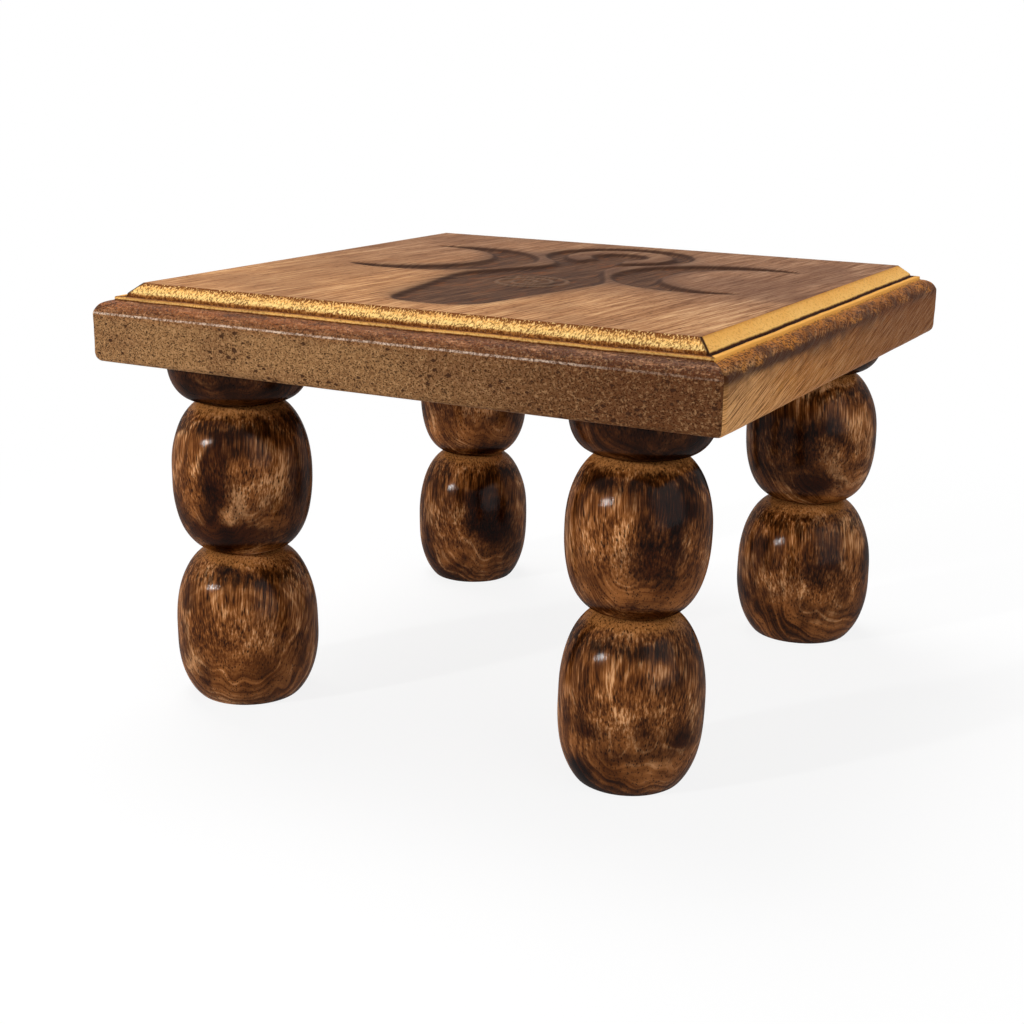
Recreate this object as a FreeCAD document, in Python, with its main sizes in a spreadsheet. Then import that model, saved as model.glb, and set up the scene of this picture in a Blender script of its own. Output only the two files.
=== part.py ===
import FreeCAD, Part
import math
import os
import Sketcher

# A small square altar table: a carved board with a moulded edge on four turned legs.
# Each leg is held by a hanger bolt that runs up into a threaded insert in the board.
# The frame has its origin on the floor under the middle of the board, Z up, front at -Y.

SIZES = [
    # board outline, all lengths in mm
    ("top_width", 152.4),
    ("top_depth", 152.4),
    ("board_thickness", 17.6),
    ("corner_radius", 1.8),
    ("bottom_arris", 2.0),
    # edge moulding, from the flat field outwards
    ("bevel_width", 2.7),
    ("bevel_drop", 2.3),
    ("bevel_step", 0.6),
    ("quirk_width", 0.7),
    ("quirk_depth", 0.3),
    ("fillet_width", 1.3),
    ("fillet_step", 0.8),
    ("ovolo_width", 3.9),
    ("ovolo_drop", 2.6),
    ("ovolo_radius", 4.4),
    # carved figure, seen from above with its head towards the back
    ("carve_depth", 0.9),
    ("ring_radius", 19.0),
    ("ring_centre", 43.0),
    ("arm_width", 4.5),
    ("head_radius", 7.0),
    ("neck_half", 3.6),
    ("gap_tip_half", 5.2),
    ("waist_half", 7.5),
    ("waist_radius", 13.2),
    ("hip_radius", 14.0),
    ("hip_offset", 4.3),
    ("hip_below", 10.0),
    ("foot_round", 8.0),
    ("foot_half", 3.2),
    ("foot_below", 57.0),
    # carved crescents on either side of the figure
    ("moon_radius", 25.5),
    ("moon_offset", 39.0),
    ("moon_centre", 15.0),
    ("moon_bite_radius", 22.2),
    ("moon_bite_shift", 8.3),
    # legs
    ("leg_height", 80.6),
    ("cap_height", 9.2),
    ("leg_inset_side", 25.3),
    ("leg_inset_front", 21.0),
    ("foot_radius", 11.6),
    ("lower_bead_radius", 16.45),
    ("lower_side_fullness", 0.274),
    ("middle_neck_radius", 9.4),
    ("neck_land", 0.8),
    ("lower_bead_share", 0.5244),
    ("upper_bead_radius", 16.0),
    ("upper_side_fullness", 0.222),
    ("shoulder_radius", 13.0),
    ("upper_neck_radius", 9.4),
    ("cap_radius", 16.4),
    # hidden fixings
    ("bolt_radius", 2.95),
    ("bolt_wood_length", 28.0),
    ("bolt_tip_length", 5.0),
    ("bolt_tip_radius", 0.6),
    ("bolt_end_chamfer", 0.6),
    ("bolt_clearance", 0.05),
    ("bolt_hole_spare", 0.5),
    ("insert_radius", 5.0),
    ("insert_length", 12.0),
    ("insert_clearance", 0.05),
    ("insert_spare", 0.5),
]

CORNERS = {
    "front_left": (-1, -1),
    "front_right": (1, -1),
    "back_left": (-1, 1),
    "back_right": (1, 1),
}

# vertex numbers and axis numbers as the sketcher counts them
START, END, CENTRE = range(1, 4)
HORIZONTAL_AXIS = -START
VERTICAL_AXIS = -END
ORIGIN = HORIZONTAL_AXIS
SKETCH_NORMAL = FreeCAD.Vector(0, 0, 1)
NEAR = 1e-6

doc = FreeCAD.newDocument("altar_table")
sheet = doc.addObject("Spreadsheet::Sheet", "Sizes")
for row, (alias, size) in enumerate(SIZES, 1):
    sheet.set(f"A{row}", alias)
    sheet.set(f"B{row}", str(size))
    sheet.setAlias(f"B{row}", alias)
doc.recompute()


def number(expression):
    """The present value of an expression in the sheet's names."""
    return float(sheet.evalExpression(expression))


def linked(expression):
    """The same expression with every sheet name pointing at the sheet."""
    words = expression.replace("(", "( ").replace(")", " )").split()
    names = {alias for alias, size in SIZES}
    return " ".join(f"Sizes.{word}" if word in names else word for word in words)


def new_body(label):
    body = doc.addObject("PartDesign::Body", label)
    body.Label = label
    return body


def origin_feature(body, role):
    return next(item for item in body.Origin.OriginFeatures if item.Role == role)


def new_sketch(body, name, role, lift=None):
    """A sketch on one of the body's origin planes, lifted along its normal."""
    sketch = body.newObject("Sketcher::SketchObject", name)
    sketch.AttachmentSupport = [(origin_feature(body, role), "")]
    sketch.MapMode = "FlatFace"
    if lift:
        sketch.setExpression("AttachmentOffset.Base.z", linked(lift))
    return sketch


def constrain(sketch, kind, *parts, size=None):
    """Add one constraint, and tie it to the sheet when a size is given."""
    if size is None:
        sketch.addConstraint(Sketcher.Constraint(kind, *parts))
        return
    index = sketch.addConstraint(Sketcher.Constraint(kind, *parts, number(size)))
    sketch.setExpression(f"Constraints[{index}]", linked(size))


def place(sketch, geometry, vertex, across=None, along=None):
    """Fix a point's sketch coordinates; each may be left free."""
    for kind, size, axis in (("DistanceX", across, VERTICAL_AXIS), ("DistanceY", along, HORIZONTAL_AXIS)):
        if size is None:
            continue
        value = number(size)
        if abs(value) < NEAR:
            constrain(sketch, "PointOnObject", geometry, vertex, axis)
        elif value > 0:
            constrain(sketch, kind, ORIGIN, START, geometry, vertex, size=size)
        else:
            constrain(sketch, kind, geometry, vertex, ORIGIN, START, size=f"-1 * ( {size} )")


def point(across, along):
    return FreeCAD.Vector(across, along, 0)


def add_line(sketch, start, end):
    return sketch.addGeometry(Part.LineSegment(point(*start), point(*end)))


def add_arc(sketch, centre, radius, start, end):
    """Arc run anticlockwise from one point to another."""
    first = math.atan2(start[1] - centre[1], start[0] - centre[0])
    last = math.atan2(end[1] - centre[1], end[0] - centre[0])
    circle = Part.Circle(point(*centre), SKETCH_NORMAL, radius)
    return sketch.addGeometry(Part.ArcOfCircle(circle, first, last))


def polygon(sketch, corners):
    """Closed outline through corners given as pairs of expressions."""
    points = [(number(across), number(along)) for across, along in corners]
    lines = [add_line(sketch, *ends) for ends in zip(points, points[1:] + points[:1])]
    for line, following in zip(lines, lines[1:] + lines[:1]):
        constrain(sketch, "Coincident", line, END, following, START)
    for line, corner in zip(lines, corners):
        place(sketch, line, START, *corner)


def circles_meet(first, first_radius, second, second_radius, side):
    """Crossing point of two circles on the left (1) or right (-1) of the line between them."""
    span = math.dist(first, second)
    reach = (first_radius ** 2 - second_radius ** 2 + span ** 2) / (2 * span)
    rise = side * math.sqrt(max(first_radius ** 2 - reach ** 2, 0))
    ahead = ((second[0] - first[0]) / span, (second[1] - first[1]) / span)
    return (
        first[0] + reach * ahead[0] - rise * ahead[1],
        first[1] + reach * ahead[1] + rise * ahead[0],
    )


def beyond(start, through, distance):
    """Point at a distance from start on the ray through another point."""
    span = math.dist(start, through)
    scale = distance / span
    return (
        start[0] + (through[0] - start[0]) * scale,
        start[1] + (through[1] - start[1]) * scale,
    )


def cut(body, feature_type, name, sketch, **settings):
    """Add a cutting feature and make sure that it removed material."""
    before = body.Shape.Volume
    feature = body.newObject(feature_type, name)
    feature.Profile = sketch
    for setting, value in settings.items():
        setattr(feature, setting, value)
    doc.recompute()
    if body.Shape.Volume > before - NEAR:
        raise RuntimeError(f"{name} removes nothing")
    return feature


def mirrored(body, name, feature, role):
    """Repeat a cut on the other side of an origin plane."""
    before = body.Shape.Volume
    copy = body.newObject("PartDesign::Mirrored", name)
    copy.Originals = [feature]
    copy.MirrorPlane = (origin_feature(body, role), [""])
    body.Tip = copy
    doc.recompute()
    if body.Shape.Volume > before - NEAR:
        raise RuntimeError(f"{name} removes nothing")


def edge_names(shape, wanted):
    return [f"Edge{index}" for index, edge in enumerate(shape.Edges, 1) if wanted(edge)]


def dress(body, kind, name, base, wanted, size_property, size):
    """Round or chamfer the edges of the last feature that the test picks out."""
    feature = body.newObject(kind, name)
    feature.Base = (base, edge_names(base.Shape, wanted))
    feature.setExpression(size_property, linked(size))
    doc.recompute()
    return feature


def is_upright(edge):
    box = edge.BoundBox
    return box.ZLength > NEAR and box.XLength < NEAR and box.YLength < NEAR


def is_underside(edge):
    return edge.BoundBox.ZMax < NEAR


def cut_moulding(body, name, plane, half_span):
    """Cut the edge moulding along one side with a straight run of its waste profile."""
    sketch = new_sketch(body, f"{name}_profile", plane)
    field_edge = f"{half_span} - ovolo_width - fillet_width - quirk_width - bevel_width"
    bevel_foot = f"{half_span} - ovolo_width - fillet_width - quirk_width"
    quirk_edge = f"{half_span} - ovolo_width - fillet_width"
    ovolo_edge = f"{half_span} - ovolo_width"
    outside = f"{half_span} + ovolo_width"
    above = "board_thickness + ovolo_drop"
    bevel_level = "board_thickness - bevel_drop"
    fillet_level = f"{bevel_level} - bevel_step"
    quirk_level = f"{fillet_level} - quirk_depth"
    ovolo_top = f"{fillet_level} - fillet_step"
    ovolo_foot = f"{ovolo_top} - ovolo_drop"
    corners = [
        (field_edge, "board_thickness"),
        (bevel_foot, bevel_level),
        (bevel_foot, quirk_level),
        (quirk_edge, quirk_level),
        (quirk_edge, fillet_level),
        (ovolo_edge, fillet_level),
        (ovolo_edge, ovolo_top),
        (half_span, ovolo_foot),
        (outside, ovolo_foot),
        (outside, above),
        (field_edge, above),
    ]
    points = [(number(across), number(along)) for across, along in corners]
    ovolo_index = 6
    radius = number("ovolo_radius")
    centre = circles_meet(points[ovolo_index + 1], radius, points[ovolo_index], radius, 1)
    ends = []
    for index, start in enumerate(points):
        finish = points[(index + 1) % len(points)]
        if index == ovolo_index:
            ends.append((add_arc(sketch, centre, radius, finish, start), END, START))
        else:
            ends.append((add_line(sketch, start, finish), START, END))
    for (shape, first, last), (following, entry, leave) in zip(ends, ends[1:] + ends[:1]):
        constrain(sketch, "Coincident", shape, last, following, entry)
    for (shape, first, last), corner in zip(ends, corners):
        place(sketch, shape, first, *corner)
    constrain(sketch, "Radius", ends[ovolo_index][0], size="ovolo_radius")
    return cut(body, "PartDesign::Pocket", name, sketch, Type="ThroughAll", SideType="Symmetric")


def draw_half_figure(sketch):
    """Right half of the figure: foot, hip, waist, raised arms, and head on its neck."""
    ring = (0, number("ring_centre"))
    ring_radius = number("ring_radius")
    inner_radius = number("ring_radius - arm_width")
    head_radius = number("head_radius")
    foot = (number("foot_half"), number("foot_round - foot_below"))
    foot_round = number("foot_round")
    hip = (number("hip_offset"), number("-1 * hip_below"))
    hip_radius = number("hip_radius")
    waist_radius = number("waist_radius")
    waist_across = number("waist_half + waist_radius")
    waist_drop = math.sqrt((ring_radius + waist_radius) ** 2 - waist_across ** 2)
    waist = (waist_across, ring[1] - waist_drop)

    heading = math.atan2(hip[1] - foot[1], hip[0] - foot[0])
    leg_turn = heading - math.pi / 2 + math.asin((foot_round - hip_radius) / math.dist(foot, hip))
    leg_way = (math.cos(leg_turn), math.sin(leg_turn))
    leg_low = (foot[0] + foot_round * leg_way[0], foot[1] + foot_round * leg_way[1])
    leg_high = (hip[0] + hip_radius * leg_way[0], hip[1] + hip_radius * leg_way[1])

    climb = math.atan2(waist[1] - hip[1], waist[0] - hip[0])
    flank_turn = climb - math.acos((hip_radius + waist_radius) / math.dist(hip, waist))
    flank_way = (math.cos(flank_turn), math.sin(flank_turn))
    flank_low = (hip[0] + hip_radius * flank_way[0], hip[1] + hip_radius * flank_way[1])
    flank_high = (waist[0] - waist_radius * flank_way[0], waist[1] - waist_radius * flank_way[1])
    shoulder = beyond(ring, waist, ring_radius)

    neck_half = number("neck_half")
    neck_top = (neck_half, ring[1] - math.sqrt(head_radius ** 2 - neck_half ** 2))
    tip_half = number("gap_tip_half")
    gap_tip = (tip_half, ring[1] - math.sqrt(inner_radius ** 2 - tip_half ** 2))

    sole = number("-1 * foot_below")
    arms_top = (0, ring[1] + ring_radius)
    gap_top = (0, ring[1] + inner_radius)
    head_top = (0, ring[1] + head_radius)
    sole_line = add_line(sketch, (0, sole), (foot[0], sole))
    foot_arc = add_arc(sketch, foot, foot_round, (foot[0], sole), leg_low)
    leg_line = add_line(sketch, leg_low, leg_high)
    hip_arc = add_arc(sketch, hip, hip_radius, leg_high, flank_low)
    flank_line = add_line(sketch, flank_low, flank_high)
    waist_arc = add_arc(sketch, waist, waist_radius, shoulder, flank_high)
    ring_arc = add_arc(sketch, ring, ring_radius, shoulder, arms_top)
    arms_line = add_line(sketch, arms_top, gap_top)
    gap_arc = add_arc(sketch, ring, inner_radius, gap_tip, gap_top)
    neck_line = add_line(sketch, gap_tip, neck_top)
    head_arc = add_arc(sketch, ring, head_radius, neck_top, head_top)
    middle_line = add_line(sketch, head_top, (0, sole))

    smooth_joins = [
        (sole_line, END, foot_arc, START),
        (foot_arc, END, leg_line, START),
        (leg_line, END, hip_arc, START),
        (hip_arc, END, flank_line, START),
        (flank_line, END, waist_arc, END),
        (waist_arc, START, ring_arc, START),
    ]
    corner_joins = [
        (ring_arc, END, arms_line, START),
        (arms_line, END, gap_arc, END),
        (gap_arc, START, neck_line, START),
        (neck_line, END, head_arc, START),
        (head_arc, END, middle_line, START),
        (middle_line, END, sole_line, START),
        (gap_arc, CENTRE, ring_arc, CENTRE),
        (head_arc, CENTRE, ring_arc, CENTRE),
    ]
    for join in smooth_joins:
        constrain(sketch, "Tangent", *join)
    for join in corner_joins:
        constrain(sketch, "Coincident", *join)
    constrain(sketch, "Horizontal", sole_line)
    constrain(sketch, "Vertical", middle_line)
    constrain(sketch, "Vertical", arms_line)
    place(sketch, sole_line, START, "0", "-1 * foot_below")
    place(sketch, sole_line, END, "foot_half")
    place(sketch, hip_arc, CENTRE, "hip_offset", "-1 * hip_below")
    place(sketch, waist_arc, CENTRE, "waist_half + waist_radius")
    place(sketch, ring_arc, CENTRE, "0", "ring_centre")
    place(sketch, arms_line, START, "0")
    place(sketch, neck_line, START, "gap_tip_half")
    place(sketch, neck_line, END, "neck_half")
    constrain(sketch, "Radius", foot_arc, size="foot_round")
    constrain(sketch, "Radius", hip_arc, size="hip_radius")
    constrain(sketch, "Radius", waist_arc, size="waist_radius")
    constrain(sketch, "Radius", ring_arc, size="ring_radius")
    constrain(sketch, "Radius", gap_arc, size="ring_radius - arm_width")
    constrain(sketch, "Radius", head_arc, size="head_radius")


def draw_moon(sketch):
    """Crescent on the right, with its horns turned outwards."""
    outer = (number("moon_offset"), number("moon_centre"))
    bite = (number("moon_offset + moon_bite_shift"), outer[1])
    outer_radius = number("moon_radius")
    bite_radius = number("moon_bite_radius")
    high_tip = circles_meet(outer, outer_radius, bite, bite_radius, 1)
    low_tip = circles_meet(outer, outer_radius, bite, bite_radius, -1)
    outer_arc = add_arc(sketch, outer, outer_radius, high_tip, low_tip)
    bite_arc = add_arc(sketch, bite, bite_radius, high_tip, low_tip)
    constrain(sketch, "Coincident", outer_arc, START, bite_arc, START)
    constrain(sketch, "Coincident", outer_arc, END, bite_arc, END)
    place(sketch, outer_arc, CENTRE, "moon_offset", "moon_centre")
    place(sketch, bite_arc, CENTRE, "moon_offset + moon_bite_shift", "moon_centre")
    constrain(sketch, "Radius", outer_arc, size="moon_radius")
    constrain(sketch, "Radius", bite_arc, size="moon_bite_radius")


def build_tabletop():
    body = new_body("tabletop")
    body.setExpression("Placement.Base.z", linked("leg_height"))
    outline = new_sketch(body, "board_outline", "XY_Plane")
    polygon(outline, [
        ("-1 * top_width / 2", "-1 * top_depth / 2"),
        ("top_width / 2", "-1 * top_depth / 2"),
        ("top_width / 2", "top_depth / 2"),
        ("-1 * top_width / 2", "top_depth / 2"),
    ])
    board = body.newObject("PartDesign::Pad", "board")
    board.Profile = outline
    board.setExpression("Length", linked("board_thickness"))
    doc.recompute()
    rounded = dress(body, "PartDesign::Fillet", "corner_rounding", board, is_upright,
                    "Radius", "corner_radius")
    dress(body, "PartDesign::Fillet", "underside_arris", rounded, is_underside,
          "Radius", "bottom_arris")

    side = cut_moulding(body, "side_moulding", "XZ_Plane", "top_width / 2")
    mirrored(body, "other_side_moulding", side, "YZ_Plane")
    back = cut_moulding(body, "back_moulding", "YZ_Plane", "top_depth / 2")
    mirrored(body, "front_moulding", back, "XZ_Plane")

    for name, draw in (("figure", draw_half_figure), ("moon", draw_moon)):
        sketch = new_sketch(body, f"{name}_outline", "XY_Plane", "board_thickness")
        draw(sketch)
        carving = cut(body, "PartDesign::Pocket", f"{name}_carving", sketch, Length=number("carve_depth"))
        carving.setExpression("Length", linked("carve_depth"))
        mirrored(body, f"{name}_carving_mirrored", carving, "YZ_Plane")

    holes = new_sketch(body, "insert_hole_centres", "XY_Plane")
    radius = number("insert_radius + insert_clearance")
    for across, along in CORNERS.values():
        centre = (f"{across} * ( top_width / 2 - leg_inset_side )",
                  f"{along} * ( top_depth / 2 - leg_inset_front )")
        spot = point(number(centre[0]), number(centre[1]))
        hole = holes.addGeometry(Part.Circle(spot, SKETCH_NORMAL, radius))
        place(holes, hole, CENTRE, *centre)
        constrain(holes, "Radius", hole, size="insert_radius + insert_clearance")
    pocket = cut(body, "PartDesign::Pocket", "insert_holes", holes, Reversed=True,
                 Length=number("insert_length + insert_spare"))
    pocket.setExpression("Length", linked("insert_length + insert_spare"))
    return body


def draw_bead(sketch, low, high, radius, fullness):
    """Three tangent arcs from a low neck point to a high one, bulging to a given radius.

    The side arc flattens as the bead grows taller, so that it always clears both necks.
    """
    low_point = (number(low[0]), number(low[1]))
    high_point = (number(high[0]), number(high[1]))
    middle = f"( {low[1]} + {high[1]} ) / 2"
    tall = f"( {high[1]} - ( {low[1]} ) )"
    side_radius = f"{fullness} * {tall} ^ 2 / ( {radius} - middle_neck_radius )"
    side = number(side_radius)
    shoulder = number("shoulder_radius")
    side_centre = (number(radius) - side, number(middle))
    low_centre = circles_meet(side_centre, side - shoulder, low_point, shoulder, 1)
    high_centre = circles_meet(side_centre, side - shoulder, high_point, shoulder, -1)
    low_join = beyond(side_centre, low_centre, side)
    high_join = beyond(side_centre, high_centre, side)
    low_arc = add_arc(sketch, low_centre, shoulder, low_point, low_join)
    side_arc = add_arc(sketch, side_centre, side, low_join, high_join)
    high_arc = add_arc(sketch, high_centre, shoulder, high_join, high_point)
    constrain(sketch, "Tangent", low_arc, END, side_arc, START)
    constrain(sketch, "Tangent", side_arc, END, high_arc, START)
    constrain(sketch, "Radius", low_arc, size="shoulder_radius")
    constrain(sketch, "Radius", high_arc, size="shoulder_radius")
    constrain(sketch, "Radius", side_arc, size=side_radius)
    place(sketch, side_arc, CENTRE, f"{radius} - {side_radius}", middle)
    return low_arc, high_arc


def build_leg(label):
    body = new_body(label)
    profile = new_sketch(body, f"{label}_profile", "XZ_Plane")
    land_low = "lower_bead_share * ( leg_height - cap_height - 2 * neck_land )"
    land_high = f"{land_low} + neck_land"
    collar_low = "leg_height - cap_height - neck_land"
    collar_high = "leg_height - cap_height"
    foot_edge = ("foot_radius", "0")
    neck = [("middle_neck_radius", land_low), ("middle_neck_radius", land_high)]
    collar = [("upper_neck_radius", collar_low), ("upper_neck_radius", collar_high)]

    def at(pair):
        return number(pair[0]), number(pair[1])

    foot_line = add_line(profile, (0, 0), at(foot_edge))
    lower = draw_bead(profile, foot_edge, neck[0], "lower_bead_radius", "lower_side_fullness")
    neck_line = add_line(profile, at(neck[0]), at(neck[1]))
    upper = draw_bead(profile, neck[1], collar[0], "upper_bead_radius", "upper_side_fullness")
    collar_line = add_line(profile, at(collar[0]), at(collar[1]))
    rim = at(("cap_radius", "leg_height"))
    low_rim = at(collar[1])
    flare = rim[0] - low_rim[0]
    rise = rim[1] - low_rim[1]
    cap_curve = (flare ** 2 + rise ** 2) / (2 * flare)
    cap_centre = (rim[0] - cap_curve, rim[1])
    cap_arc = add_arc(profile, cap_centre, cap_curve, low_rim, rim)
    top_line = add_line(profile, rim, (0, rim[1]))
    axis_line = add_line(profile, (0, rim[1]), (0, 0))

    chain = [
        (foot_line, END, lower[0], START),
        (lower[1], END, neck_line, START),
        (neck_line, END, upper[0], START),
        (upper[1], END, collar_line, START),
        (collar_line, END, cap_arc, START),
        (cap_arc, END, top_line, START),
        (top_line, END, axis_line, START),
        (axis_line, END, foot_line, START),
    ]
    for join in chain:
        constrain(profile, "Coincident", *join)
    constrain(profile, "Coincident", foot_line, START, ORIGIN, START)
    place(profile, foot_line, END, *foot_edge)
    place(profile, neck_line, START, *neck[0])
    place(profile, neck_line, END, *neck[1])
    place(profile, collar_line, START, *collar[0])
    place(profile, collar_line, END, *collar[1])
    place(profile, top_line, START, "cap_radius", "leg_height")
    place(profile, top_line, END, "0", "leg_height")
    place(profile, cap_arc, CENTRE, along="leg_height")

    turned = body.newObject("PartDesign::Revolution", f"{label}_turning")
    turned.Profile = profile
    turned.ReferenceAxis = (profile, ["V_Axis"])
    doc.recompute()

    hole = new_sketch(body, f"{label}_hole_profile", "XZ_Plane")
    hole_radius = "bolt_radius + bolt_clearance"
    hole_floor = "leg_height - bolt_wood_length + bolt_tip_length - bolt_hole_spare"
    hole_point = "leg_height - bolt_wood_length - bolt_hole_spare"
    polygon(hole, [
        ("0", "leg_height"),
        ("0", hole_point),
        ("bolt_tip_radius + bolt_clearance", hole_point),
        (hole_radius, hole_floor),
        (hole_radius, "leg_height"),
    ])
    cut(body, "PartDesign::Groove", f"{label}_bolt_hole", hole, ReferenceAxis=(hole, ["V_Axis"]))
    return body


def build_turned(label, corners):
    """A solid of revolution about the body's own Z axis."""
    body = new_body(label)
    profile = new_sketch(body, f"{label}_profile", "XZ_Plane")
    polygon(profile, corners)
    turned = body.newObject("PartDesign::Revolution", f"{label}_turning")
    turned.Profile = profile
    turned.ReferenceAxis = (profile, ["V_Axis"])
    doc.recompute()
    return body


def build_bolt(label):
    """Hanger bolt; its own zero is at the joint between leg and board."""
    return build_turned(label, [
        ("0", "-1 * bolt_wood_length"),
        ("bolt_tip_radius", "-1 * bolt_wood_length"),
        ("bolt_radius", "bolt_tip_length - bolt_wood_length"),
        ("bolt_radius", "insert_length - bolt_end_chamfer"),
        ("bolt_radius - bolt_end_chamfer", "insert_length"),
        ("0", "insert_length"),
    ])


def build_insert(label):
    """Threaded insert; its own zero is flush with the underside of the board."""
    return build_turned(label, [
        ("bolt_radius + bolt_clearance", "0"),
        ("insert_radius", "0"),
        ("insert_radius", "insert_length"),
        ("bolt_radius + bolt_clearance", "insert_length"),
    ])


def stand_at(body, corner, height=None):
    """Put a body on the axis of one leg, at a height above the floor."""
    across, along = corner
    body.setExpression("Placement.Base.x", linked(f"{across} * ( top_width / 2 - leg_inset_side )"))
    body.setExpression("Placement.Base.y", linked(f"{along} * ( top_depth / 2 - leg_inset_front )"))
    if height:
        body.setExpression("Placement.Base.z", linked(height))


bodies = [build_tabletop()]
for place_name, corner in CORNERS.items():
    leg = build_leg(f"leg_{place_name}")
    stand_at(leg, corner)
    bolt = build_bolt(f"hanger_bolt_{place_name}")
    stand_at(bolt, corner, "leg_height")
    insert = build_insert(f"insert_{place_name}")
    stand_at(insert, corner, "leg_height")
    bodies += [leg, bolt, insert]
doc.recompute()

for item in doc.Objects:
    if "Invalid" in item.State or "Error" in item.State:
        raise RuntimeError(f"{item.Label} did not build: {item.State}")

os.makedirs("parts", exist_ok=True)
for body in bodies:
    if body.Shape.isNull() or not body.Shape.isValid() or len(body.Shape.Solids) != 1:
        raise RuntimeError(f"{body.Label} is not one sound solid")
    body.Shape.exportStep(f"parts/{body.Label}.step")
    print(body.Label, round(body.Shape.Volume), body.Shape.BoundBox)
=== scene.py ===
"""A small carved altar table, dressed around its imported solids.

Lengths of the object are in millimetres and are turned into metres when a mesh is made.
Places along an axis in a material and the lengths of the studio are in metres.
"""

import math

import bpy
import numpy as np
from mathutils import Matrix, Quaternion, Vector, noise
from mathutils.bvhtree import BVHTree


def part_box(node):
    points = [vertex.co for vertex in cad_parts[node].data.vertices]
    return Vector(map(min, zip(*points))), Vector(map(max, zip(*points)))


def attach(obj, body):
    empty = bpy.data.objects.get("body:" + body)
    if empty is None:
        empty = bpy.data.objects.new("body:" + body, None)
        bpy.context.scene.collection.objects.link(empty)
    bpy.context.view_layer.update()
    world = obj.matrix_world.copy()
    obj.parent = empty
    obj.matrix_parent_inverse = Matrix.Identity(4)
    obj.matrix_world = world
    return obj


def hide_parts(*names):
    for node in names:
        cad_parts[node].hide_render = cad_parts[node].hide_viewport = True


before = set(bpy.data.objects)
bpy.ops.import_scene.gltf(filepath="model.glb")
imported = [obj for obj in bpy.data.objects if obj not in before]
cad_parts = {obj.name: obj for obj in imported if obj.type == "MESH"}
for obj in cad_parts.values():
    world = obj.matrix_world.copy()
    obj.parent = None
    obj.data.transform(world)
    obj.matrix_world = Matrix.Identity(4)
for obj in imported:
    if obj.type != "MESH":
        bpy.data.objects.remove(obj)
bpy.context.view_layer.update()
MM = 0.001
BODY = "root"

# Each hand-turned leg: thickness against the nominal one, height share of its middle neck,
# and how far its foot leans to the right of the side that faces the camera, in millimetres
LEGS = {
    "front_left": (1.017, 0.447, 0.7),
    "front_right": (0.953, 0.467, -0.6),
    "back_left": (0.962, 0.461, 0.3),
    "back_right": (1.055, 0.462, 0.3),
}

# Scorched places on each leg: bead, degrees to the right of the side that faces the camera,
# level in the bead, half width and half height in millimetres, strength (below zero: left pale)
LOWER, UPPER, CAP = range(3)
SEEN_SIDE = 28
SCORCHES = {
    "front_left": (
        (UPPER, -15, 0.50, 3.2, 10.0, 0.28),
        (UPPER, 0, 0.17, 14.0, 2.8, 0.26),
        (UPPER, 62, 0.55, 4.0, 7.0, 0.14),
        (UPPER, 0, 0.84, 16.0, 1.0, 0.10),
        (UPPER, -42, 0.62, 4.0, 9.0, -0.10),
        (UPPER, 22, 0.55, 7.0, 8.0, -0.10),
        (LOWER, -50, 0.60, 2.2, 8.0, 0.18),
        (LOWER, -30, 0.22, 2.4, 6.0, 0.18),
        (LOWER, -18, 0.92, 3.0, 1.2, 0.14),
        (LOWER, 34, 0.88, 3.5, 1.4, 0.14),
        (LOWER, 10, 0.48, 15.0, 11.0, -0.28),
    ),
    "front_right": (
        (UPPER, 22, 0.70, 6.0, 5.5, 0.18),
        (UPPER, 12, 0.42, 7.0, 5.0, 0.22),
        (UPPER, -42, 0.87, 4.0, 1.4, 0.14),
        (UPPER, 45, 0.86, 8.0, 1.6, 0.16),
        (UPPER, 0, 0.07, 14.0, 1.6, 0.14),
        (UPPER, -36, 0.62, 6.0, 8.0, -0.16),
        (UPPER, 20, 0.20, 14.0, 3.0, -0.06),
        (LOWER, -42, 0.40, 5.0, 2.2, 0.18),
        (LOWER, 0, 0.27, 9.0, 2.2, 0.16),
        (LOWER, 40, 0.35, 5.0, 2.2, 0.16),
        (LOWER, -52, 0.14, 4.0, 2.8, 0.32),
        (LOWER, 0, 0.86, 15.0, 1.8, 0.12),
        (LOWER, -24, 0.68, 9.0, 4.0, -0.12),
    ),
    "back_left": (
        (LOWER, 22, 0.55, 8.0, 10.0, 0.20),
        (LOWER, -60, 0.20, 6.0, 4.0, 0.12),
        (LOWER, -25, 0.45, 6.0, 9.0, -0.06),
        (UPPER, 0, 0.10, 14.0, 3.0, 0.14),
    ),
    "back_right": (
        (UPPER, -28, 0.60, 9.0, 6.0, 0.20),
        (UPPER, -5, 0.20, 8.0, 2.6, 0.24),
        (UPPER, 62, 0.50, 2.6, 3.0, 0.14),
        (LOWER, 8, 0.62, 5.0, 7.0, 0.20),
        (LOWER, 66, 0.65, 3.0, 5.0, 0.18),
        (LOWER, -10, 0.92, 4.0, 1.0, 0.18),
        (LOWER, -55, 0.70, 5.0, 4.0, 0.12),
        (LOWER, 42, 0.72, 3.4, 3.4, -0.22),
        (LOWER, 46, 0.42, 3.4, 4.0, -0.16),
    ),
}

# Edge moulding of the board, from the flat field outwards and down
EASED_WIDTH = 0.25
EASED_DROP = 0.12
BEVEL_WIDTH = 2.7
BEVEL_DROP = 2.3
BEVEL_STEP = 0.6
QUIRK_WIDTH = 0.7
QUIRK_DEPTH = 0.3
QUIRK_SLOPE = 0.105
FILLET_WIDTH = 1.3
FILLET_STEP = 0.8
OVOLO_WIDTH = 3.9
OVOLO_DROP = 2.6
OVOLO_RADIUS = 4.4
BOTTOM_ARRIS = 2.0
CORNER_RADIUS = 1.8
INNER_CORNER_RADIUS = 0.3
EDGE_SOFTENING = 0.28

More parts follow.
